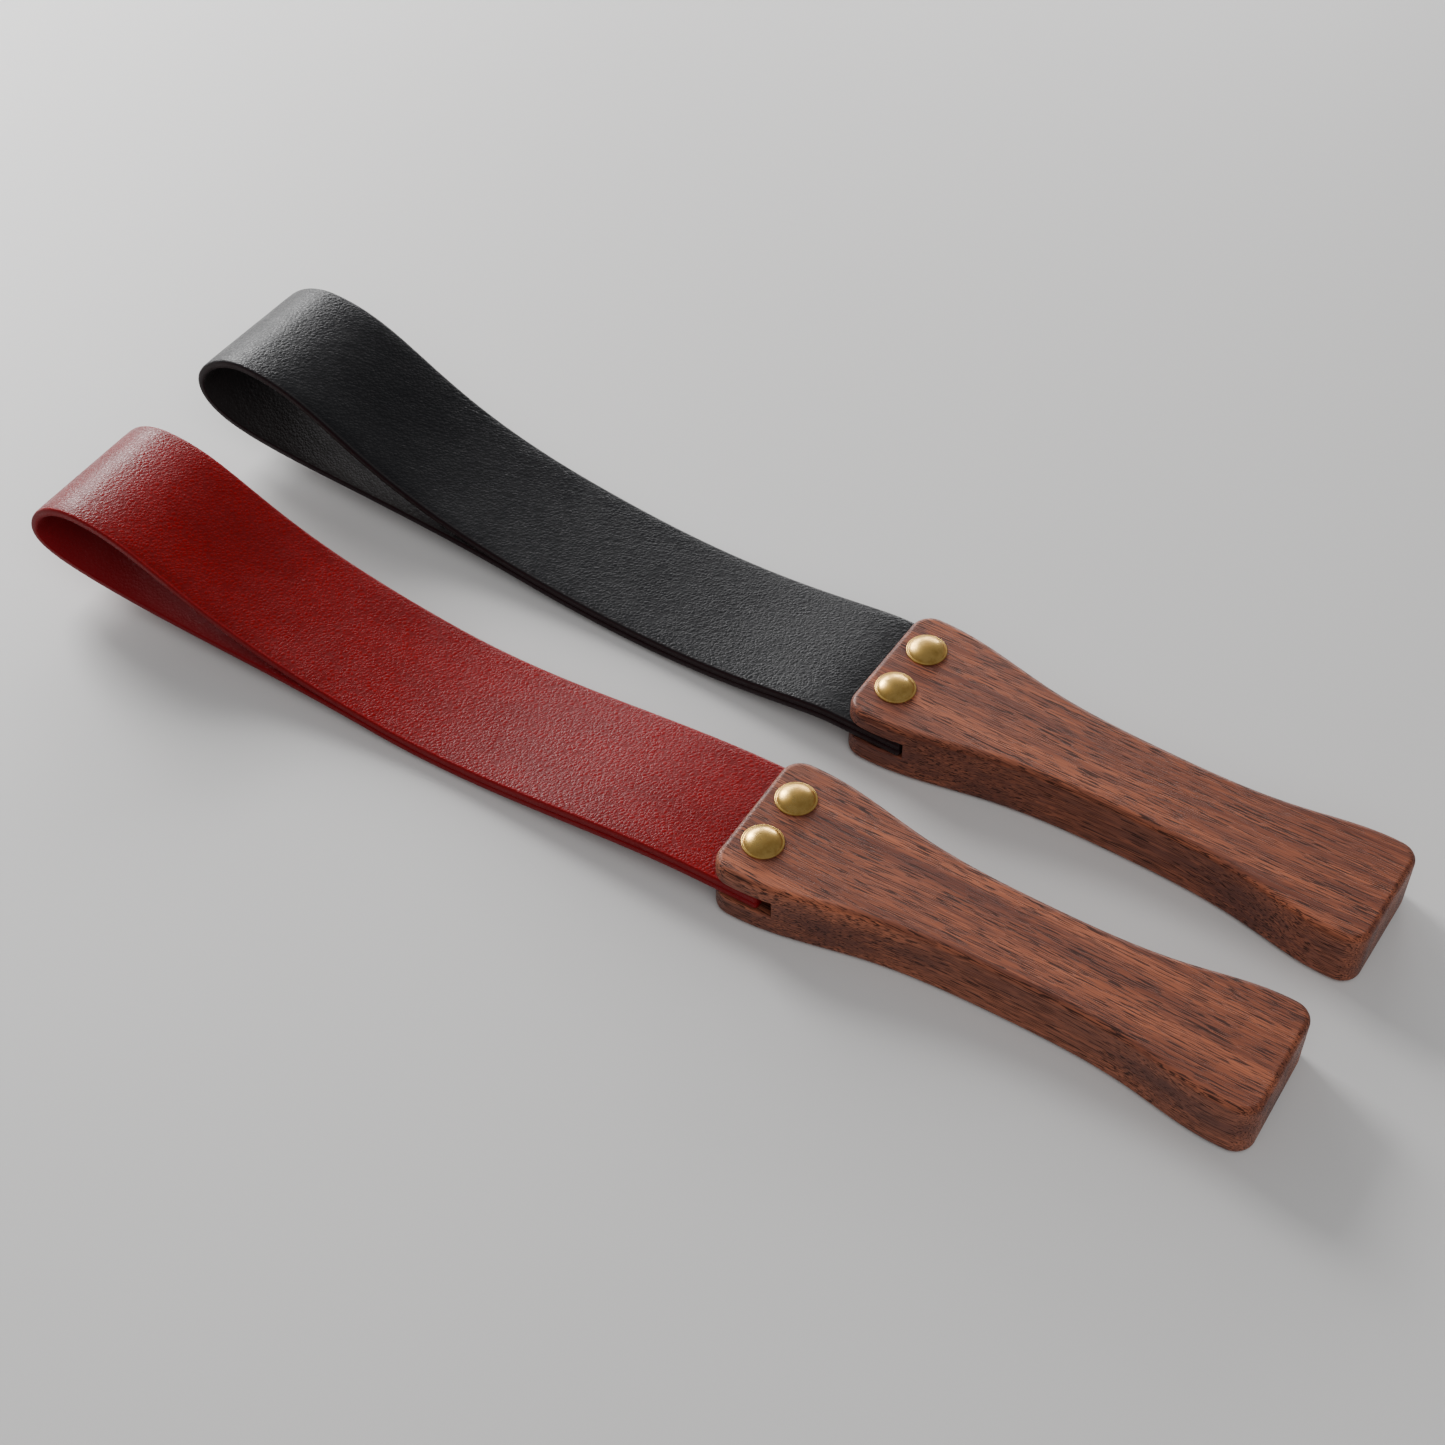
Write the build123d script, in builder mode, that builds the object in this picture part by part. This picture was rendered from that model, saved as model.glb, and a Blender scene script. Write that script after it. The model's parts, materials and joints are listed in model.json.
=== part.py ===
"""A pair of looped leather straps, red and black, each riveted into a waisted wooden handle.

Each item lies along its own X, from the handle's butt at 0 towards the loop, on the plane Z = 0.
"""

import os
from dataclasses import dataclass

from build123d import *

os.makedirs("parts", exist_ok=True)

# Handle: a flat bar of hardwood, waisted for the hand, wide at the head
handle_length = 150.0
handle_thick = 18.5
butt_end_width = 36.0  # at the very end
butt_width = 37.4  # at the fullest place, just ahead of the end
butt_full_x = 9.5
taper_width = 30.0  # where the flare has nearly run out
taper_x = 33.0
waist_width = 26.0
waist_x = 69.0
neck_width = 31.2  # where the sides open out towards the head
neck_from_front = 44.0
head_width = 43.0
head_full_from_front = 11.0
front_width = 42.0
front_corner_radius = 6.0
butt_corner_radius = 5.5
edge_radius = 1.8  # rounding along the top and bottom edges

# Slot: sawn into the head from the front, open at both sides
slot_depth = 18.5
slot_height_above_base = 10.2  # to the middle of the slot
slot_clearance = 0.05  # above and below the two plies
slot_lip_chamfer = 0.35

# Strap: one strip of leather, folded so that two plies enter the slot
leather_thick = 2.6
strap_width = 42.0
flex_from_front = 3.5  # where the strap starts to bend, ahead of the handle
flex_gap = 0.3  # round the rounded end of the free strap
tail_corner_radius = 0.9

# Rivets: a domed post from above, closed by a cap set in the underside
rivet_from_front = 8.8
rivet_spacing = 16.8
rivet_head_diameter = 11.4
rivet_rim_height = 0.6
rivet_dome_height = 1.9
shank_diameter = 4.6
shank_clearance = 0.05
tenon_diameter = 3.0
cap_diameter = 9.0
cap_thick = 1.0
cap_recess = 0.3  # from the underside of the handle up to the cap
cap_edge_chamfer = 0.25
cap_seat_clearance = 0.1


@dataclass
class Item:
    """Where one item lies, and how its strap falls: places along the strap are x, z in the item's frame."""

    name: str
    butt: tuple  # middle of the butt, on the surface
    turn: float  # degrees, of the item's X from the row's X
    tail_gap: float  # from the tails' end to the end of the slot
    part_point: tuple  # where the two plies part
    part_slope: float  # of both plies at that place
    crown: tuple  # top of the space inside the loop
    nose: tuple  # far end of the space inside the loop
    mouth_reach: float  # how far the strap holds its line as it leaves the flex
    dip_reach: float  # how far it holds its line back from the parting place
    rise_reach: float  # upper ply, from the parting place
    crown_reach: float  # upper ply, back from the crown
    fall_reach: float  # from the crown towards the nose
    nose_reach: float  # above the nose
    heel_reach: float  # below the nose
    floor_reach: float  # lower ply, from the parting place


red = Item(
    name="red", butt=(0.0, 0.0), turn=0.9, tail_gap=3.9,
    part_point=(261.0, 4.9), part_slope=0.11, crown=(360.5, 31.3), nose=(377.5, 19.0),
    mouth_reach=37.0, dip_reach=41.0, rise_reach=69.0, crown_reach=26.5,
    fall_reach=11.6, nose_reach=4.0, heel_reach=12.0, floor_reach=42.0,
)
black = Item(
    name="black", butt=(-2.2, -60.3), turn=-0.9, tail_gap=0.6,
    part_point=(260.5, 6.5), part_slope=0.12, crown=(358.5, 36.1), nose=(378.0, 22.5),
    mouth_reach=15.0, dip_reach=64.0, rise_reach=64.0, crown_reach=29.5,
    fall_reach=11.0, nose_reach=5.0, heel_reach=18.0, floor_reach=60.0,
)

rivet_x = handle_length - rivet_from_front
rivet_spots = [(rivet_x, -rivet_spacing / 2), (rivet_x, rivet_spacing / 2)]
flex_x = handle_length + flex_from_front
slot_end_x = handle_length - slot_depth
slot_half_height = leather_thick + slot_clearance
lip_zone = head_width  # more than the slot reaches to either side
arcs_per_curve = 6  # that each stretch of the strap is drawn with
crotch_share = 0.08  # of the upper and lower ply, over which they part by a hair


def base_plane(item):
    """The plane that the item lies on, with its X along the handle."""
    return Plane(Location((*item.butt, 0), (0, 0, item.turn)))


def side_plane(item):
    """The upright plane along the item's middle, with X along the handle and Y up."""
    base = base_plane(item)
    return Plane(base.origin, x_dir=base.x_dir, z_dir=-base.y_dir)


def rivet_plane(item, spot):
    """The upright plane through one rivet's axis."""
    side = side_plane(item)
    return Plane(base_plane(item).from_local_coords((*spot, 0)), x_dir=side.x_dir, z_dir=side.z_dir)


def make_handle(item):
    base = base_plane(item)
    along = Axis(base.origin, base.x_dir)
    with BuildPart() as handle:
        with BuildSketch(base):
            with BuildLine():
                side = Spline(
                    (0, butt_end_width / 2),
                    (butt_full_x, butt_width / 2),
                    (taper_x, taper_width / 2),
                    (waist_x, waist_width / 2),
                    (handle_length - neck_from_front, neck_width / 2),
                    (handle_length - head_full_from_front, head_width / 2),
                    (handle_length, front_width / 2),
                )
                Polyline(side @ 0, (0, 0), (handle_length, 0), side @ 1)
            make_face()
            mirror(about=Plane.XZ)
        extrude(amount=handle_thick)
        fillet(handle.edges().filter_by(Axis.Z).sort_by(along)[:2], butt_corner_radius)
        fillet(handle.edges().filter_by(Axis.Z).sort_by(along)[-2:], front_corner_radius)
        levels = handle.faces().sort_by(Axis.Z)
        fillet(levels[0].edges() + levels[-1].edges(), edge_radius)
        with BuildSketch(side_plane(item)):
            with Locations(((slot_end_x + handle_length) / 2 + lip_zone / 2, slot_height_above_base)):
                Rectangle(slot_depth + lip_zone, 2 * slot_half_height)
        extrude(amount=lip_zone, both=True, mode=Mode.SUBTRACT)
        slot_end = handle.faces(Select.LAST).filter_by(along).sort_by(along)[0]
        inner_corners = slot_end.edges().filter_by(Axis(base.origin, base.y_dir))
        chamfer(handle.edges(Select.LAST) - inner_corners, slot_lip_chamfer)
        with BuildSketch(base):
            with Locations(*rivet_spots):
                Circle(shank_diameter / 2 + shank_clearance)
        extrude(amount=handle_thick, mode=Mode.SUBTRACT)
        with BuildSketch(base):
            with Locations(*rivet_spots):
                Circle(cap_diameter / 2 + cap_seat_clearance)
        extrude(amount=cap_recess + cap_thick, mode=Mode.SUBTRACT)
    return handle


def make_tails(item):
    """The stretch of both plies that the handle holds, up to the flex."""
    tail_end_x = slot_end_x + item.tail_gap
    with BuildPart() as tails:
        with BuildSketch(side_plane(item)) as plies:
            with Locations(((tail_end_x + flex_x) / 2, slot_height_above_base)):
                Rectangle(flex_x - tail_end_x, 2 * leather_thick)
            fillet(plies.vertices().sort_by(Axis.X)[:2], tail_corner_radius)
            with Locations((flex_x, slot_height_above_base)):
                Circle(leather_thick + flex_gap, mode=Mode.SUBTRACT)
        extrude(amount=strap_width / 2, both=True)
        with BuildSketch(base_plane(item)):
            with Locations(*rivet_spots):
                Circle(shank_diameter / 2 + shank_clearance)
        extrude(amount=handle_thick, mode=Mode.SUBTRACT)
    return tails


def reach(point, distance, slope=0.0):
    """The control point that lies a distance along X from a point, on the slope of its line."""
    return (point[0] + distance, point[1] + slope * distance)


def strap_path(item):
    """The middle of the two plies, then the space inside the loop: over the crown and round the nose."""
    flex = (flex_x, slot_height_above_base)
    part = item.part_point
    crown = item.crown
    nose = item.nose
    nose_above = (nose[0], nose[1] + item.nose_reach)
    nose_below = (nose[0], nose[1] - item.heel_reach)
    seam = Bezier(flex, reach(flex, item.mouth_reach), reach(part, -item.dip_reach, item.part_slope), part)
    crown_before = reach(crown, -item.crown_reach)
    rise = Bezier(part, reach(part, item.rise_reach, item.part_slope), crown_before, crown)
    fall = Bezier(crown, reach(crown, item.fall_reach), nose_above, nose)
    heel = Bezier(nose, nose_below, reach(part, item.floor_reach, item.part_slope), part)
    return seam, rise, fall, heel


def draw_beside(curve, distance=0.0, start=0.0, end=1.0):
    """Short arcs that follow a curve at a distance to its left, from one share of its length to another."""

    def place(step):
        share = start + (end - start) * step / arcs_per_curve
        along = curve % share
        return curve @ share + Vector(-along.Y, along.X) * distance

    for step in range(arcs_per_curve):
        ThreePointArc(place(step), place(step + 0.5), place(step + 1))


def make_loop(item):
    """The free strap: two plies together, which part and make one loop."""
    seam, rise, fall, heel = strap_path(item)
    with BuildPart() as loop:
        with BuildSketch(side_plane(item)):
            with BuildLine():
                for curve in (seam, rise, fall, heel):
                    draw_beside(curve, leather_thick)
                draw_beside(seam, -leather_thick)
                ThreePointArc(
                    (flex_x, slot_height_above_base + leather_thick),
                    (flex_x - leather_thick, slot_height_above_base),
                    (flex_x, slot_height_above_base - leather_thick),
                )
            make_face()
            with BuildLine():
                draw_beside(rise, start=crotch_share)
                draw_beside(fall)
                draw_beside(heel, end=1 - crotch_share)
                Line(heel @ (1 - crotch_share), rise @ crotch_share)
            make_face(mode=Mode.SUBTRACT)
        extrude(amount=strap_width / 2, both=True)
    return loop


def make_rivet_post(item, spot):
    """The domed head, its rim, the shank and the thinner tenon that the cap closes on."""
    top = handle_thick
    shank_end = cap_recess + cap_thick
    with BuildPart() as post:
        with BuildSketch(rivet_plane(item, spot)):
            with BuildLine():
                Polyline(
                    (0, cap_recess),
                    (tenon_diameter / 2, cap_recess),
                    (tenon_diameter / 2, shank_end),
                    (shank_diameter / 2, shank_end),
                    (shank_diameter / 2, top),
                    (rivet_head_diameter / 2, top),
                    (rivet_head_diameter / 2, top + rivet_rim_height),
                )
                ThreePointArc(
                    (rivet_head_diameter / 2, top + rivet_rim_height),
                    dome_point(0.5),
                    dome_point(0.0),
                )
                Line(dome_point(0.0), (0, cap_recess))
            make_face()
        revolve(axis=Axis(rivet_plane(item, spot).origin, (0, 0, 1)))
    return post


def dome_point(share):
    """A place on the dome's arc, at a share of the head's radius out from its axis."""
    radius = rivet_head_diameter / 2
    ball = (radius**2 + rivet_dome_height**2) / (2 * rivet_dome_height)
    ball_centre = handle_thick + rivet_rim_height + rivet_dome_height - ball
    return (share * radius, ball_centre + (ball**2 - (share * radius) ** 2) ** 0.5)


def make_rivet_cap(item, spot):
    """The flat ring that the post's tenon is closed over, just inside the underside."""
    with BuildPart() as cap:
        with BuildSketch(base_plane(item).offset(cap_recess)):
            with Locations(spot):
                Circle(cap_diameter / 2)
                Circle(tenon_diameter / 2, mode=Mode.SUBTRACT)
        extrude(amount=cap_thick)
        rim = cap.faces().sort_by(Axis.Z)[0].edges().sort_by(SortBy.RADIUS)[-1]
        chamfer(rim, cap_edge_chamfer)
    return cap


pieces = []
for item in (red, black):
    handle = make_handle(item)
    handle.part.label = f"{item.name}_handle"
    tails = make_tails(item)
    tails.part.label = f"{item.name}_strap_tails"
    loop = make_loop(item)
    loop.part.label = f"{item.name}_strap_loop"
    pieces += [handle.part, tails.part, loop.part]
    for side, spot in zip(("far", "near"), rivet_spots):
        post = make_rivet_post(item, spot)
        post.part.label = f"{item.name}_rivet_post_{side}"
        cap = make_rivet_cap(item, spot)
        cap.part.label = f"{item.name}_rivet_cap_{side}"
        pieces += [post.part, cap.part]

# The row's origin is on the surface, under the middle of the pair
whole = Compound(children=[piece.moved(Location()) for piece in pieces]).bounding_box()
stand = Location((-whole.center().X, -whole.center().Y, 0))
for piece in pieces:
    placed = piece.moved(stand)
    placed.label = piece.label
    export_step(placed, f"parts/{piece.label}.step")

for item in (red, black):
    flex = stand * base_plane(item).location * Pos(flex_x, 0, slot_height_above_base)
    print(item.name, "flex at", flex.position, "across", -(base_plane(item).y_dir))
    print(item.name, "butt at", (stand * base_plane(item).location).position)
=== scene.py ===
import json
import math

import bmesh
import bpy
import numpy as np
from mathutils import Matrix, Vector
from mathutils.kdtree import KDTree


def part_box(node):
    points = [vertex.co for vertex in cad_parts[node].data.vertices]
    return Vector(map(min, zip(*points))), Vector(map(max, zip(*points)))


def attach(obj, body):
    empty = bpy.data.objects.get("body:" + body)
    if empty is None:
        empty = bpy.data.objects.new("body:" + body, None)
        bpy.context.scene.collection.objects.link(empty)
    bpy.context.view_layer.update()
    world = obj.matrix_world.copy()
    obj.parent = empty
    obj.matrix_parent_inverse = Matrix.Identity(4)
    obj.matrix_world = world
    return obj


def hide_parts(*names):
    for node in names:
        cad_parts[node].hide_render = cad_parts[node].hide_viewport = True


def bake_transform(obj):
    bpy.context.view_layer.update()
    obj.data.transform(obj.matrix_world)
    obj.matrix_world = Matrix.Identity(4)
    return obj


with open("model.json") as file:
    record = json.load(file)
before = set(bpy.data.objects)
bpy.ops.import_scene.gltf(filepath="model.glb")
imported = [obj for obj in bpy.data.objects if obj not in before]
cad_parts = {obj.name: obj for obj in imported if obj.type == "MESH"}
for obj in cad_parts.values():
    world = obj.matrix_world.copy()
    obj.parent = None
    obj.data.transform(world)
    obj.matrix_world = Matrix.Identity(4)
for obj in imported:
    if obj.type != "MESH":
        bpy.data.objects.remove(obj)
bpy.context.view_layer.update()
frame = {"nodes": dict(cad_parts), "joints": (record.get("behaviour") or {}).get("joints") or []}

nodes = frame["nodes"]
items = ("red", "black")

# ---------------------------------------------------------------------------------------------
# Handles. Two flat bars of dense red-brown hardwood, sawn from planed stock, waisted for the
# hand, rounded along every edge and rubbed with oil. The head is slotted to take the strap.
# ---------------------------------------------------------------------------------------------


def put(tree, kind, inputs=None, **settings):
    """One node, with values or other nodes' sockets fed to its inputs."""
    made = tree.nodes.new("ShaderNode" + kind)
    for key, value in settings.items():
        setattr(made, key, value)
    for key, value in (inputs or {}).items():
        if isinstance(value, bpy.types.NodeSocket):
            tree.links.new(value, made.inputs[key])
        else:
            made.inputs[key].default_value = value
    return made


def reckon(tree, operation, first, second=0.0):
    """One sum on two numbers."""
    return put(tree, "Math", {0: first, 1: second}, operation=operation).outputs[0]


def shifted(tree, place, operation, other):
    """A place added to or multiplied by three numbers."""
    return put(tree, "VectorMath", {0: place, 1: other}, operation=operation).outputs[0]


def cloud(tree, place, scale, detail=2.0, rough=0.5, colour=False):
    """Soft random patches, with so many to the metre in each direction."""
    made = put(tree, "TexNoise", {0: shifted(tree, place, "MULTIPLY", scale), "Scale": 1.0,
                                  "Detail": detail, "Roughness": rough})
    return made.outputs[1 if colour else 0]


def warped(tree, place, scale, amount):
    """A place pushed about by up to the amount, in metres, so that straight figure wanders."""
    push = shifted(tree, cloud(tree, place, scale, colour=True), "SUBTRACT", (0.5, 0.5, 0.5))
    return shifted(tree, place, "ADD", shifted(tree, push, "MULTIPLY", amount))


def ramp(tree, value, low, high, to_low=0.0, to_high=1.0):
    """An even change from one value to another, smooth at both ends."""
    return put(tree, "MapRange", {0: value, 1: low, 2: high, 3: to_low, 4: to_high},
               interpolation_type="SMOOTHSTEP").outputs[0]


def covered(tree, share, under, over, how="MIX"):
    """One colour laid over another by a share."""
    made = put(tree, "Mix", {0: share, 6: under, 7: over}, data_type="RGBA", blend_type=how)
    return made.outputs[2]


def new_group(name, inputs, outputs):
    """An empty node group, with its inputs' sockets to read and its outputs' sockets to feed."""
    tree = bpy.data.node_groups.new(name, "ShaderNodeTree")
    for way, sockets in (("INPUT", inputs), ("OUTPUT", outputs)):
        for label, kind in sockets.items():
            tree.interface.new_socket(label, in_out=way, socket_type="NodeSocket" + kind)
    return tree, tree.nodes.new("NodeGroupInput").outputs, tree.nodes.new("NodeGroupOutput").inputs


def use_group(tree, group, inputs):
    """The outputs of a group placed in a material."""
    return put(tree, "Group", inputs, node_tree=group).outputs


def new_finish(name):
    """A material with its shader, ready for its nodes."""
    made = bpy.data.materials.new(name)
    made.use_nodes = True
    return made, made.node_tree, made.node_tree.nodes["Principled BSDF"]


# Where hands have been: faint smears and small specks that change the gloss of every surface
handling, given, gives = new_group("handling", {"Place": "Vector"}, {"Smear": "Float", "Speck": "Float"})
palm_marks = cloud(handling, given[0], (34, 46, 40), 4.0)
finger_marks = cloud(handling, given[0], (150, 110, 130), 3.0)
dust = cloud(handling, given[0], (1500, 1500, 1500), 1.0)
handled = reckon(handling, "MULTIPLY", palm_marks, finger_marks)
handling.links.new(ramp(handling, handled, 0.14, 0.4), gives[0])
handling.links.new(ramp(handling, dust, 0.7, 0.8), gives[1])

# Figure of the wood: bands of colour, finer streaks, fibres, and open pores that run as dark dashes
figure, given, gives = new_group(
    "wood figure",
    {"Place": "Vector", "Early Wood": "Color", "Late Wood": "Color", "Pore": "Color"},
    {"Colour": "Color", "Roughness": "Float", "Height": "Float"},
)
grain_wander = (0.0, 0.0042, 0.0042)  # metres that the straight grain strays across its length
along_grain = warped(figure, given[0], (9, 16, 16), grain_wander)
bands = cloud(figure, along_grain, (5, 150, 110), 3.0, 0.55)
streaks = cloud(figure, along_grain, (16, 1150, 900), 3.0, 0.66)
fibres = cloud(figure, along_grain, (55, 3400, 3000), 2.0)
pores = cloud(figure, along_grain, (150, 3300, 3300), 1.0)
pore_rows = ramp(figure, streaks, 0.38, 0.54, 0.35, 1.0)
open_pores = reckon(figure, "MULTIPLY", ramp(figure, pores, 0.51, 0.58), pore_rows)
band_share, streak_share = 0.62, 0.38
depth = reckon(figure, "ADD", reckon(figure, "MULTIPLY", bands, band_share),
               reckon(figure, "MULTIPLY", streaks, streak_share))
tone = covered(figure, ramp(figure, depth, 0.34, 0.66), given[2], given[1])
tone = covered(figure, ramp(figure, fibres, 0.36, 0.64, 0.0, 0.55), tone, given[2])
colour = covered(figure, reckon(figure, "MULTIPLY", open_pores, 0.88), tone, given[3])
oiled = ramp(figure, fibres, 0.3, 0.7, 0.36, 0.46)  # roughness of the oiled wood, duller in the pores
figure.links.new(colour, gives[0])
figure.links.new(reckon(figure, "ADD", oiled, reckon(figure, "MULTIPLY", open_pores, 0.25)), gives[1])
figure.links.new(reckon(figure, "SUBTRACT", reckon(figure, "MULTIPLY", fibres, 0.3), open_pores), gives[2])

early_wood = (0.40, 0.122, 0.058, 1)
late_wood = (0.112, 0.034, 0.022, 1)
pore_colour = (0.016, 0.006, 0.005, 1)
board_shift = {"red": (0.0, 0.0, 0.0), "black": (0.21, 0.034, 0.017)}  # where each was cut from the board
pore_depth = 0.00006

for item in items:
    wood, tree, shader = new_finish(f"{item}_handle_oiled_hardwood")
    place = shifted(tree, put(tree, "TexCoord").outputs["Object"], "ADD", board_shift[item])
    grain = use_group(tree, figure, {"Place": place, "Early Wood": early_wood, "Late Wood": late_wood,
                                     "Pore": pore_colour})
    marks = use_group(tree, handling, {"Place": place})
    tree.links.new(grain["Colour"], shader.inputs["Base Color"])
    tree.links.new(reckon(tree, "ADD", grain["Roughness"], reckon(tree, "MULTIPLY", marks["Smear"], 0.1)),
                   shader.inputs["Roughness"])
    bumps = put(tree, "Bump", {"Height": grain["Height"], "Strength": 0.6, "Distance": pore_depth})
    tree.links.new(bumps.outputs[0], shader.inputs["Normal"])
    shader.inputs["Specular IOR Level"].default_value = 0.33
    handle = nodes[f"{item}_handle"]
    handle.data.materials.clear()
    handle.data.materials.append(wood)

# ---------------------------------------------------------------------------------------------
# Straps. Each is one strip of drum-dyed leather, 2.6 mm thick and 42 mm wide, with painted edges
# and a thin light line painted along them as a highlight. Both tails go into the handle's slot, where
# the rivets pass through their punched holes, and lie flat together past it, then part into a loop.
# ---------------------------------------------------------------------------------------------

mm = 0.001
leather_thick = 2.6 * mm
strap_half_width = 21.0 * mm
flex_x = 153.5 * mm  # the flex, from the butt
slot_middle = 10.2 * mm  # height of the slot's middle
ply_gap = 0.03 * mm  # from the seam to each ply
hole_radius = 2.35 * mm
hole_sides = 40

# The strip's cross-section is flat, with its outer corners well rounded and its inner ones just eased
inner_ease = 0.45 * mm
outer_ease = 0.95 * mm
pressed_band = 3.2 * mm  # the outer face sinks a little towards both edges
pressed_depth = 0.14 * mm
end_round = 0.9 * mm
width_wander = 0.0035  # share of its width by which the knife strayed
strip_step = 1.0 * mm
section_step = 3.0 * mm
glance = 0.4 * mm  # how far ahead and behind its direction is taken

# x from the butt and height of each place that the strap passes, and the reaches of its curves
strap_falls = {
    "red": dict(tail_end=135.4, part=(261.0, 4.9), slope=0.11, crown=(360.5, 31.3), nose=(377.5, 19.0),
                mouth=37.0, dip=41.0, rise=69.0, over_crown=26.5, fall=11.6, above_nose=4.0,
                heel=12.0, floor=42.0),
    "black": dict(tail_end=132.1, part=(260.5, 6.5), slope=0.12, crown=(358.5, 36.1), nose=(378.0, 22.5),
                  mouth=15.0, dip=64.0, rise=64.0, over_crown=29.5, fall=11.0, above_nose=5.0,
                  heel=18.0, floor=60.0),
}


def reach(point, distance, slope=0.0):
    """The place at a distance along X from a point, on the slope of its line."""
    return (point[0] + distance, point[1] + slope * distance)


def sweep(*controls):
    """Places along a cubic curve, close together."""
    t = np.linspace(0, 1, 400)[:, None]
    a, b, c, d = (np.array(control, float) for control in controls)
    return (1 - t) ** 3 * a + 3 * (1 - t) ** 2 * t * b + 3 * (1 - t) * t**2 * c + t**3 * d


def strap_line(fall):
    """The strip's inner face seen from the side: along the upper ply, round the loop and back."""
    flex = (flex_x / mm, slot_middle / mm)
    part, slope, crown, nose = fall["part"], fall["slope"], fall["crown"], fall["nose"]
    tail = np.linspace((fall["tail_end"], flex[1]), flex, 60)
    seam = sweep(flex, reach(flex, fall["mouth"]), reach(part, -fall["dip"], slope), part)
    rise = sweep(part, reach(part, fall["rise"], slope), reach(crown, -fall["over_crown"]), crown)
    drop = sweep(crown, reach(crown, fall["fall"]), (nose[0], nose[1] + fall["above_nose"]), nose)
    heel = sweep(nose, (nose[0], nose[1] - fall["heel"]), reach(part, fall["floor"], slope), part)
    line = np.concatenate([run[:-1] for run in (tail, seam, rise, drop, heel, seam[::-1])] + [tail[::-1]])
    return line * mm


def evenly(line, stations):
    """Places and directions at distances along a line."""
    steps = np.diff(line, axis=0)
    run = np.concatenate([[0], np.cumsum(np.hypot(steps[:, 0], steps[:, 1]))])

    def places_at(distances):
        """The places on the line at those distances."""
        return np.stack([np.interp(distances, run, line[:, k]) for k in (0, 1)], 1)

    at = places_at(stations)
    along = places_at(stations + glance) - places_at(stations - glance)
    return at, along / np.linalg.norm(along, axis=1)[:, None]


def length_of(line):
    """How far it is along a line."""
    steps = np.diff(line, axis=0)
    return float(np.hypot(steps[:, 0], steps[:, 1]).sum())


def eased(corners, steps=5):
    """A closed outline of (x, y, ease) corners, each rounded over its ease."""
    outline = []
    for k, (x, y, ease) in enumerate(corners):
        here = np.array((x, y))
        before = np.array(corners[k - 1][:2]) - here
        after = np.array(corners[(k + 1) % len(corners)][:2]) - here
        start = here + before / np.linalg.norm(before) * ease
        end = here + after / np.linalg.norm(after) * ease
        for t in np.linspace(0, 1, steps):
            outline.append((1 - t) ** 2 * start + 2 * t * (1 - t) * here + t**2 * end)
    return outline


def divided(outline, longest):
    """The outline with points added along every side that is longer than that."""
    places = []
    for k, here in enumerate(outline):
        after = outline[(k + 1) % len(outline)]
        parts = max(1, math.ceil(np.linalg.norm(after - here) / longest))
        places += [here + (after - here) * share / parts for share in range(parts)]
    return np.array(places)


# Hide grain: pebbles drawn out one way, the creases between them, and long faint draws in the leather
pebble_lean, draw_lean = 0.7, -0.42  # radians from the strip's length
hide_axis = (0, 0, 1)
hide, given, gives = new_group(
    "hide grain",
    {"Place": "Vector", "Pebbles to the Metre": "Float", "Draws": "Float"},
    {"Height": "Float", "Crease": "Float", "Tone": "Float"},
)
leaning = put(hide, "VectorRotate", {"Vector": given[0], "Axis": hide_axis, "Angle": pebble_lean}).outputs[0]
stretched = shifted(hide, leaning, "MULTIPLY", (1.0, 0.7, 1.0))
drawn = warped(hide, stretched, (500, 500, 500), (0.0006, 0.0006, 0.0006))
pebbles = put(hide, "TexVoronoi", {"Vector": drawn, "Scale": given[1], "Smoothness": 0.5},
              feature="SMOOTH_F1")
gaps = put(hide, "TexVoronoi", {"Vector": drawn, "Scale": given[1]}, feature="DISTANCE_TO_EDGE")
creases = ramp(hide, gaps.outputs["Distance"], 0.02, 0.2, 1.0, 0.0)
fine = cloud(hide, given[0], (3600, 3600, 3600), 3.0, 0.6)
long_way = put(hide, "VectorRotate", {"Vector": given[0], "Axis": hide_axis, "Angle": draw_lean}).outputs[0]
wander = cloud(hide, long_way, (16, 210, 210), 3.0, 0.55)
lines = reckon(hide, "ABSOLUTE", reckon(hide, "SUBTRACT", wander, 0.5))
draws = reckon(hide, "MULTIPLY", ramp(hide, lines, 0.0, 0.035, 1.0, 0.0), given[2])
swell = reckon(hide, "MULTIPLY", ramp(hide, pebbles.outputs["Distance"], 0.1, 0.75, 1.0, 0.0), 0.6)
height = reckon(hide, "ADD", swell, reckon(hide, "MULTIPLY", fine, 0.25))
height = reckon(hide, "SUBTRACT", height, reckon(hide, "MULTIPLY", creases, 0.4))
hide.links.new(reckon(hide, "SUBTRACT", height, draws), gives[0])
hide.links.new(reckon(hide, "MAXIMUM", creases, draws), gives[1])
hide.links.new(ramp(hide, cloud(hide, given[0], (26, 60, 40), 4.0, 0.6), 0.3, 0.7), gives[2])
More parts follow.
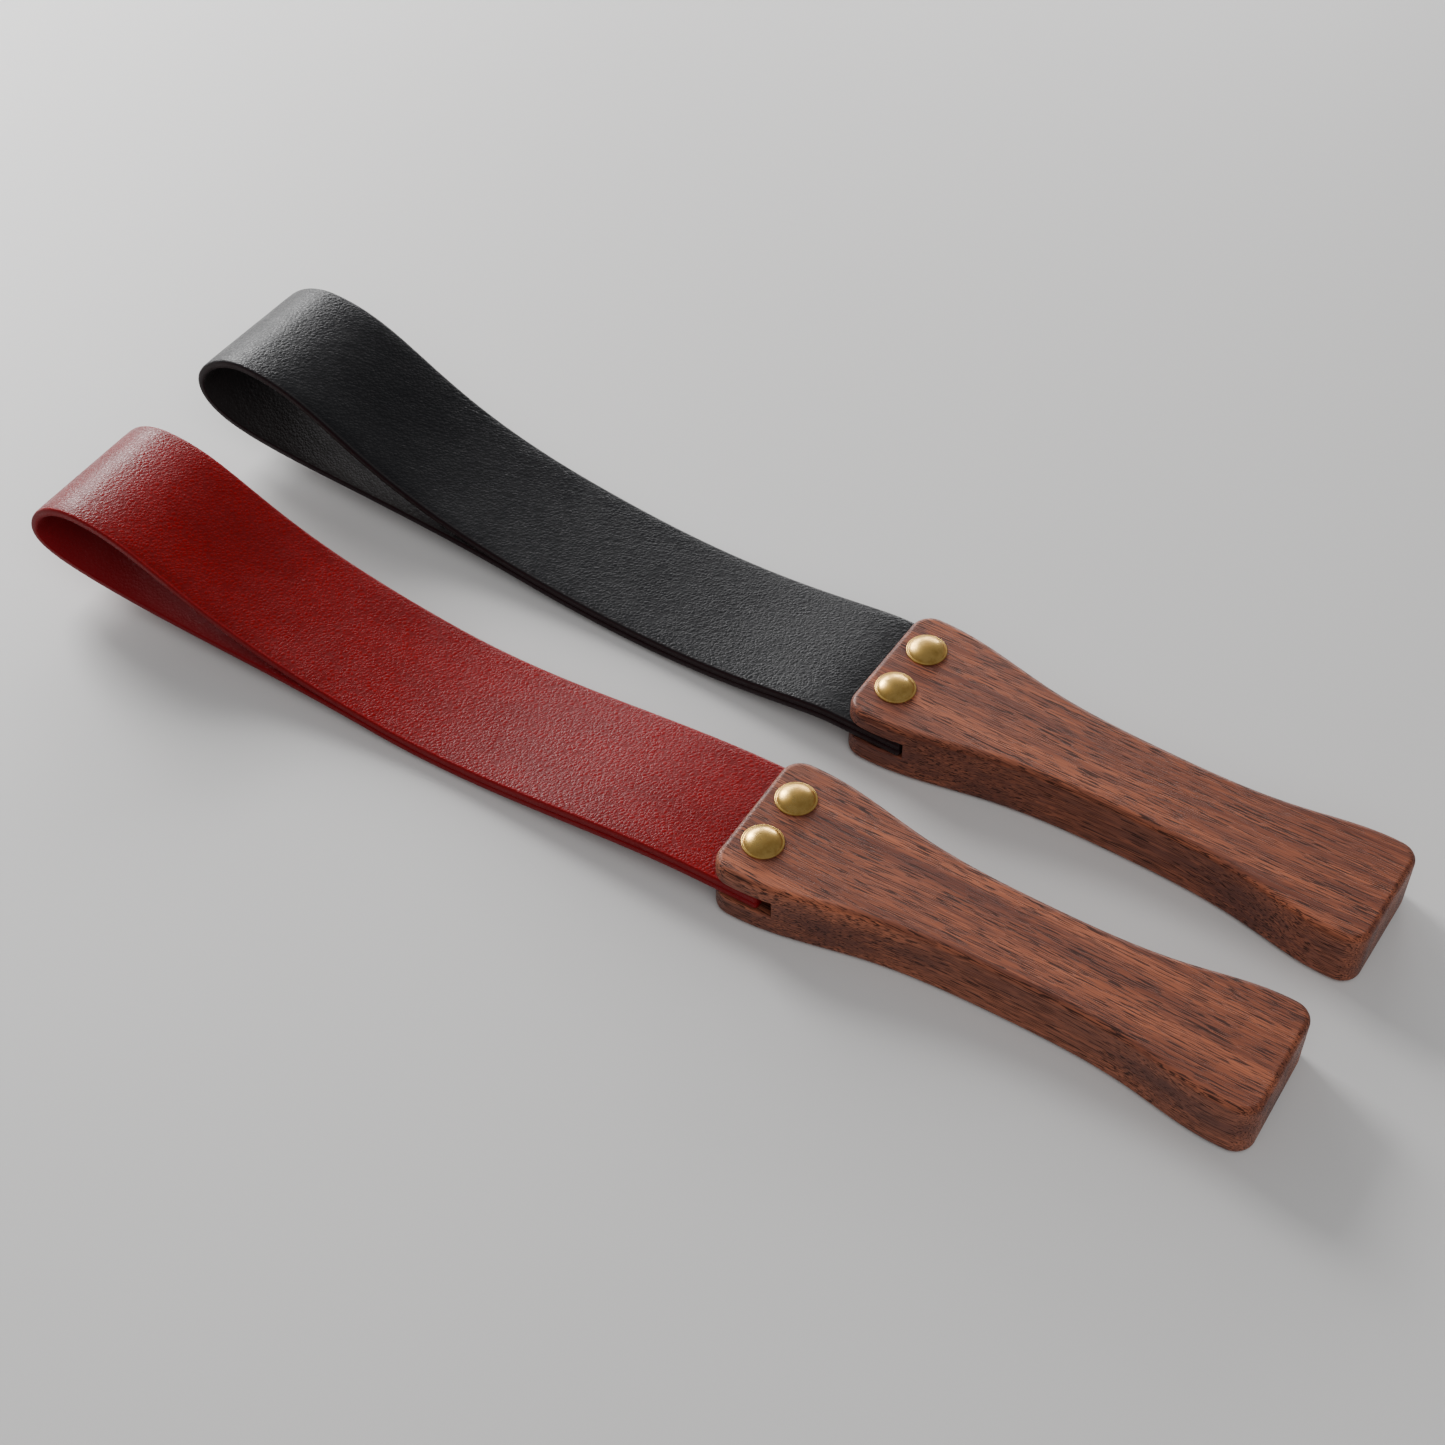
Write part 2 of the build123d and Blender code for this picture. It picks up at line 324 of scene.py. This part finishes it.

# Edge paint: where the strip's long edges and ends are coated, and a thin painted highlight along them.
# The reaches are in metres in from the edge.
brush_waver = 0.00015
paint_thins = (0.00022, 0.00045)
highlight_begins, highlight_ends = (0.0004, 0.0006), (0.0007, 0.0012)
edging, given, gives = new_group(
    "edge paint",
    {"Place": "Vector", "Half Width": "Float", "Length": "Float", "Thickness": "Float"},
    {"Paint": "Float", "Edge Highlight": "Float", "Flesh": "Float"},
)
along_strip, across_strip, into_strip = put(edging, "SeparateXYZ", {0: given[0]}).outputs
uneven = reckon(edging, "MULTIPLY", cloud(edging, given[0], (700, 700, 700), 3.0), brush_waver)
from_side = reckon(edging, "SUBTRACT", given[1], reckon(edging, "ABSOLUTE", across_strip))
from_side = reckon(edging, "ADD", from_side, uneven)
from_end = reckon(edging, "MINIMUM", along_strip, reckon(edging, "SUBTRACT", given[2], along_strip))
in_from = reckon(edging, "MINIMUM", from_side, from_end)
edging.links.new(ramp(edging, in_from, *paint_thins, 1.0, 0.0), gives[0])
# A band a little in from each edge and end, lighter: the painted highlight along the edge's rounding
line_in = ramp(edging, in_from, *highlight_begins, 0.0, 1.0)
line_out = ramp(edging, in_from, *highlight_ends, 1.0, 0.0)
edging.links.new(reckon(edging, "MULTIPLY", line_in, line_out), gives[1])
through_strip = reckon(edging, "DIVIDE", into_strip, given[3])
edging.links.new(ramp(edging, through_strip, 0.1, 0.5, 1.0, 0.0), gives[2])

hides = {
    "red": dict(light=(0.22, 0.0008, 0.002, 1), dark=(0.17, 0.0006, 0.0015, 1),
                crease_shade=(0.075, 0.0003, 0.001, 1), paint=(0.15, 0.0008, 0.003, 1),
                edge_highlight=(0.42, 0.03, 0.035, 1), flesh=(0.17, 0.006, 0.009, 1), draws=0.03),
    "black": dict(light=(0.013, 0.013, 0.014, 1), dark=(0.009, 0.009, 0.010, 1),
                  crease_shade=(0.004, 0.004, 0.005, 1), paint=(0.012, 0.004, 0.005, 1),
                  edge_highlight=(0.06, 0.05, 0.05, 1), flesh=(0.016, 0.013, 0.013, 1), draws=0.3),
}
pebbles_to_the_metre = 1150.0
pebble_height = 0.0001
hide_roughness = 0.29

joints = {joint["name"]: joint for joint in frame["joints"]}
up = Vector((0, 0, 1))
for item in items:
    look = hides[item]
    line = strap_line(strap_falls[item])
    strip_length = length_of(line)

    leather, tree, shader = new_finish(f"{item}_strap_leather")
    place = put(tree, "Attribute", attribute_name="hide_place").outputs["Vector"]
    grain = use_group(tree, hide, {"Place": place, "Pebbles to the Metre": pebbles_to_the_metre,
                                   "Draws": look["draws"]})
    edge = use_group(tree, edging, {"Place": place, "Half Width": strap_half_width, "Length": strip_length,
                                    "Thickness": leather_thick})
    marks = use_group(tree, handling, {"Place": place})
    colour = covered(tree, grain["Tone"], look["dark"], look["light"])
    # Painted shade: the creases between pebbles and the long draws are darkened in the colour
    colour = covered(tree, reckon(tree, "MULTIPLY", grain["Crease"], 0.5), colour, look["crease_shade"])
    # Painted highlight: a thin light line laid along the edges
    colour = covered(tree, reckon(tree, "MULTIPLY", edge["Edge Highlight"], 0.25), colour, look["edge_highlight"])
    colour = covered(tree, edge["Flesh"], colour, look["flesh"])
    colour = covered(tree, edge["Paint"], colour, look["paint"])
    tree.links.new(colour, shader.inputs["Base Color"])
    gloss = reckon(tree, "ADD", reckon(tree, "MULTIPLY", marks["Smear"], 0.08),
                   reckon(tree, "MULTIPLY", grain["Crease"], 0.12))
    gloss = reckon(tree, "ADD", gloss, reckon(tree, "MULTIPLY", edge["Flesh"], 0.22))
    gloss = reckon(tree, "ADD", gloss, hide_roughness)
    tree.links.new(reckon(tree, "ADD", gloss, reckon(tree, "MULTIPLY", edge["Paint"], 0.1)),
                   shader.inputs["Roughness"])
    lift = reckon(tree, "MULTIPLY", grain["Height"], reckon(tree, "SUBTRACT", 1.0, edge["Paint"]))
    bumps = put(tree, "Bump", {"Height": lift, "Strength": 0.7, "Distance": pebble_height})
    tree.links.new(bumps.outputs[0], shader.inputs["Normal"])
    shader.inputs["Specular IOR Level"].default_value = 0.17

    half, thick = strap_half_width, leather_thick
    section = divided(eased([(-half, ply_gap, inner_ease), (half, ply_gap, inner_ease),
                             (half, thick, outer_ease), (-half, thick, outer_ease)]), section_step)
    pressed = np.clip((np.abs(section[:, 0]) - (half - pressed_band)) / pressed_band, 0, 1)
    section[:, 1] -= np.where(section[:, 1] > thick / 2, pressed_depth * pressed**2, 0)

    # Stations along the strip, with more at each end for its rounding
    turn = np.linspace(0, math.pi / 2, 6)
    ends = end_round * (1 - np.cos(turn))
    middle = np.linspace(end_round, strip_length - end_round, round(strip_length / strip_step))
    stations = np.concatenate([ends[:-1], middle, strip_length - ends[-2::-1]])
    inset = end_round * (1 - np.sin(turn))
    insets = np.concatenate([inset[:-1], np.zeros(len(middle)), inset[-2::-1]])
    at, along = evenly(line, stations)

    flex = joints[f"{item}_strap_flex"]
    across = -Vector(flex["axis"])
    forward = across.cross(up)
    butt = Vector(flex["pos_m"]) - forward * flex_x - up * slot_middle
    axes = np.array([forward, across, up])
    verts, places = [], []
    inner_inset, outer_inset = 0.35, 1.0  # shares of the end's rounding taken off the two faces
    for k, station in enumerate(stations):
        wander = width_wander * math.sin(station * 61 + len(item)) * math.sin(station * 23)
        wide = section[:, 0] * (half - insets[k]) / half * (1 + wander)
        thinned = thick - ply_gap - (inner_inset + outer_inset) * insets[k]
        deep = ply_gap + inner_inset * insets[k] + (section[:, 1] - ply_gap) * thinned / (thick - ply_gap)
        x = at[k, 0] - along[k, 1] * deep
        z = at[k, 1] + along[k, 0] * deep
        verts.append(np.stack([x, wide, z], 1) @ axes + np.array(butt))
        places.append(np.stack([np.full(len(section), station), wide, deep], 1))
    verts, places = np.concatenate(verts), np.concatenate(places)
    count, ring = len(stations), len(section)
    faces = [(k * ring + j, k * ring + (j + 1) % ring, (k + 1) * ring + (j + 1) % ring, (k + 1) * ring + j)
             for k in range(count - 1) for j in range(ring)]
    faces += [tuple(range(ring))[::-1], tuple(range((count - 1) * ring, count * ring))]
    mesh = bpy.data.meshes.new(f"{item}_strap")
    mesh.from_pydata(verts.tolist(), [], faces)
    mesh.update()
    strap = bpy.data.objects.new(f"{item}_strap", mesh)
    bpy.context.scene.collection.objects.link(strap)
    mesh.materials.append(leather)
    mesh.polygons.foreach_set("use_smooth", [True] * len(mesh.polygons))

    # The two holes punched through both tails for the rivets
    punches = bmesh.new()
    for side in ("far", "near"):
        low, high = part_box(f"{item}_rivet_post_{side}")
        centre = Matrix.Translation(((low.x + high.x) / 2, (low.y + high.y) / 2, slot_middle))
        bmesh.ops.create_cone(punches, cap_ends=True, segments=hole_sides, radius1=hole_radius,
                              radius2=hole_radius, depth=4 * leather_thick, matrix=centre)
    punch_mesh = bpy.data.meshes.new("punches")
    punches.to_mesh(punch_mesh)
    punches.free()
    punch = bpy.data.objects.new("punches", punch_mesh)
    bpy.context.scene.collection.objects.link(punch)
    punched = strap.modifiers.new("rivet_holes", "BOOLEAN")
    punched.operation, punched.solver, punched.object = "DIFFERENCE", "EXACT", punch
    bpy.context.view_layer.update()
    cut = bpy.data.meshes.new_from_object(strap.evaluated_get(bpy.context.evaluated_depsgraph_get()))
    strap.modifiers.clear()
    strap.data = cut
    bpy.data.objects.remove(punch)

    # Each point's place on the strip, along, across and into it, which the grain and edge paint follow
    uncut = KDTree(len(verts))
    for k, vert in enumerate(verts):
        uncut.insert(vert, k)
    uncut.balance()
    kept = [places[uncut.find(vertex.co)[1]] for vertex in cut.vertices]
    cut.attributes.new("hide_place", "FLOAT_VECTOR", "POINT").data.foreach_set("vector", np.ravel(kept))

    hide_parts(f"{item}_strap_tails", f"{item}_strap_loop")
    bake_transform(strap)

# ---------------------------------------------------------------------------------------------
# Rivets. Four two-part rivets of satin brass: a post turned with a low domed head goes in from
# above through wood and leather, and a flat ring is closed on its tip inside the underside.
# ---------------------------------------------------------------------------------------------

brass, tree, shader = new_finish("rivet_satin_brass")
place = put(tree, "TexCoord").outputs["Object"]
marks = use_group(tree, handling, {"Place": place})
brushed = cloud(tree, place, (700, 1500, 1100), 2.0)
clouded = cloud(tree, place, (420, 420, 420), 3.0, 0.6)
colour = covered(tree, ramp(tree, clouded, 0.34, 0.7), (0.84, 0.54, 0.16, 1), (0.64, 0.38, 0.10, 1))
colour = covered(tree, reckon(tree, "MULTIPLY", marks["Speck"], 0.15), colour, (0.2, 0.12, 0.05, 1))
tree.links.new(colour, shader.inputs["Base Color"])
gloss = reckon(tree, "ADD", ramp(tree, clouded, 0.3, 0.7, 0.24, 0.36),
               reckon(tree, "MULTIPLY", marks["Smear"], 0.08))
tree.links.new(gloss, shader.inputs["Roughness"])
bumps = put(tree, "Bump", {"Height": brushed, "Strength": 0.3, "Distance": 0.00001})
tree.links.new(bumps.outputs[0], shader.inputs["Normal"])
shader.inputs["Metallic"].default_value = 1.0


def turned(name, outline, centre, sides=96):
    """A solid turned about an upright axis, from (radius, height) places that start and end on the axis."""
    verts = [(centre.x, centre.y, outline[0][1])]
    for radius, height in outline[1:-1]:
        for side in range(sides):
            angle = 2 * math.pi * side / sides
            verts.append((centre.x + radius * math.cos(angle), centre.y + radius * math.sin(angle), height))
    verts.append((centre.x, centre.y, outline[-1][1]))
    faces = [(0, 1 + (side + 1) % sides, 1 + side) for side in range(sides)]
    for ring in range(len(outline) - 3):
        low, high = 1 + ring * sides, 1 + (ring + 1) * sides
        faces += [(low + side, low + (side + 1) % sides, high + (side + 1) % sides, high + side)
                  for side in range(sides)]
    last, top = 1 + (len(outline) - 3) * sides, len(verts) - 1
    faces += [(last + side, last + (side + 1) % sides, top) for side in range(sides)]
    mesh = bpy.data.meshes.new(name)
    mesh.from_pydata(verts, [], faces)
    mesh.polygons.foreach_set("use_smooth", [True] * len(mesh.polygons))
    made = bpy.data.objects.new(name, mesh)
    bpy.context.scene.collection.objects.link(made)
    return made


rim_bead = 0.27 * mm  # radius of the rounded rim, which lies on the wood
rim_width = 0.6 * mm  # from the rim's edge in to the dome
dome_foot = 0.48 * mm  # from the wood up to the dome
groove_width, groove_depth = 0.06 * mm, 0.02 * mm  # between the rim and the dome
dome_flatness, dome_fullness = 2.2, 0.72  # a ball's cap that is a little flatter on top, fuller at its foot
shank_radius = 2.3 * mm
tenon_radius = 1.5 * mm
tenon_tip = [(0.35, 0.0), (0.1, 0.08), (0.0, 0.3)]  # its rounding, mm in from its side, up from its end
for item in items:
    for side in ("far", "near"):
        low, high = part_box(f"{item}_rivet_post_{side}")
        wood_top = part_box(f"{item}_handle")[1].z
        cap_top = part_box(f"{item}_rivet_cap_{side}")[1].z
        head = (high.x - low.x) / 2
        outline = [(0, low.z)]
        outline += [(tenon_radius - inward * mm, low.z + rise * mm) for inward, rise in tenon_tip]
        outline += [(tenon_radius, cap_top), (shank_radius, cap_top), (shank_radius, wood_top)]
        for angle in np.linspace(-math.pi / 2, math.pi / 2, 9):
            outline.append((head - rim_bead + rim_bead * math.cos(angle),
                            wood_top + rim_bead + rim_bead * math.sin(angle)))
        dome_radius = head - rim_width
        dome_low = wood_top + dome_foot
        outline.append((dome_radius + groove_width, dome_low - groove_depth))
        for share in np.cos(np.linspace(0.12, math.pi / 2, 20)):
            lift = (1 - share**dome_flatness) ** dome_fullness
            outline.append((dome_radius * share, dome_low + (high.z - dome_low) * lift))
        post = turned(f"{item}_rivet_{side}", outline, (low + high) / 2)
        post.data.materials.append(brass)
        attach(post, f"{item}_handle_set")
        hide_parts(f"{item}_rivet_post_{side}")
        cap = nodes[f"{item}_rivet_cap_{side}"]
        cap.data.materials.clear()
        cap.data.materials.append(brass)

# ---------------------------------------------------------------------------------------------
# The stand: a plain pale surface, three softboxes past the loops, a fourth overhead that only fills,
# and the camera above the handles.
# ---------------------------------------------------------------------------------------------

pale, tree, shader = new_finish("pale_surface")
shader.inputs["Base Color"].default_value = (0.62, 0.61, 0.6, 1)
shader.inputs["Roughness"].default_value = 0.55
mesh = bpy.data.meshes.new("surface")
reach_out, drop = 4.0, -0.2 * mm  # it lies a hair under the wood, so that neither shows through
mesh.from_pydata([(-reach_out, -reach_out, drop), (reach_out, -reach_out, drop),
                  (reach_out, reach_out, drop), (-reach_out, reach_out, drop)], [], [(0, 1, 2, 3)])
mesh.materials.append(pale)
surface = bpy.data.objects.new("surface", mesh)
bpy.context.scene.collection.objects.link(surface)


def softbox(name, place, aim, size, power, mirrored=True):
    """A flat soft light that faces a place, with or without its reflection in the polished parts."""
    light = bpy.data.lights.new(name, "AREA")
    light.shape = "RECTANGLE"
    light.size, light.size_y = size
    light.energy = power
    made = bpy.data.objects.new(name, light)
    made.location = place
    made.rotation_euler = (Vector(aim) - Vector(place)).to_track_quat("-Z", "Y").to_euler()
    made.visible_glossy = mirrored
    bpy.context.scene.collection.objects.link(made)


softbox("back_softbox", (1.0, -0.72, 0.36), (0.1, 0, 0.02), (0.75, 0.36), 9)
softbox("side_softbox", (1.05, -0.38, 0.6), (0.05, 0, 0), (0.4, 0.4), 16)
softbox("far_softbox", (0.38, -1.2, 0.26), (0, 0, 0), (0.6, 0.3), 7)
softbox("high_softbox", (-0.8, 0.8, 1.5), (0, 0, 0), (1.8, 1.8), 20, mirrored=False)

world = bpy.data.worlds.new("studio")
world.use_nodes = True
backdrop = world.node_tree.nodes["Background"]
backdrop.inputs["Color"].default_value = (0.78, 0.79, 0.82, 1)
backdrop.inputs["Strength"].default_value = 0.28
bpy.context.scene.world = world

camera = bpy.data.objects.new("camera", bpy.data.cameras.new("camera"))
camera.data.lens = 60.0
camera.data.sensor_width = 36.0
camera.data.clip_start = 0.01
camera.location = (-0.2477, 0.3715, 0.5020)
camera.rotation_euler = (Vector((-0.0082, -0.0020, 0)) - camera.location).to_track_quat("-Z", "Y").to_euler()
bpy.context.scene.collection.objects.link(camera)
bpy.context.scene.camera = camera
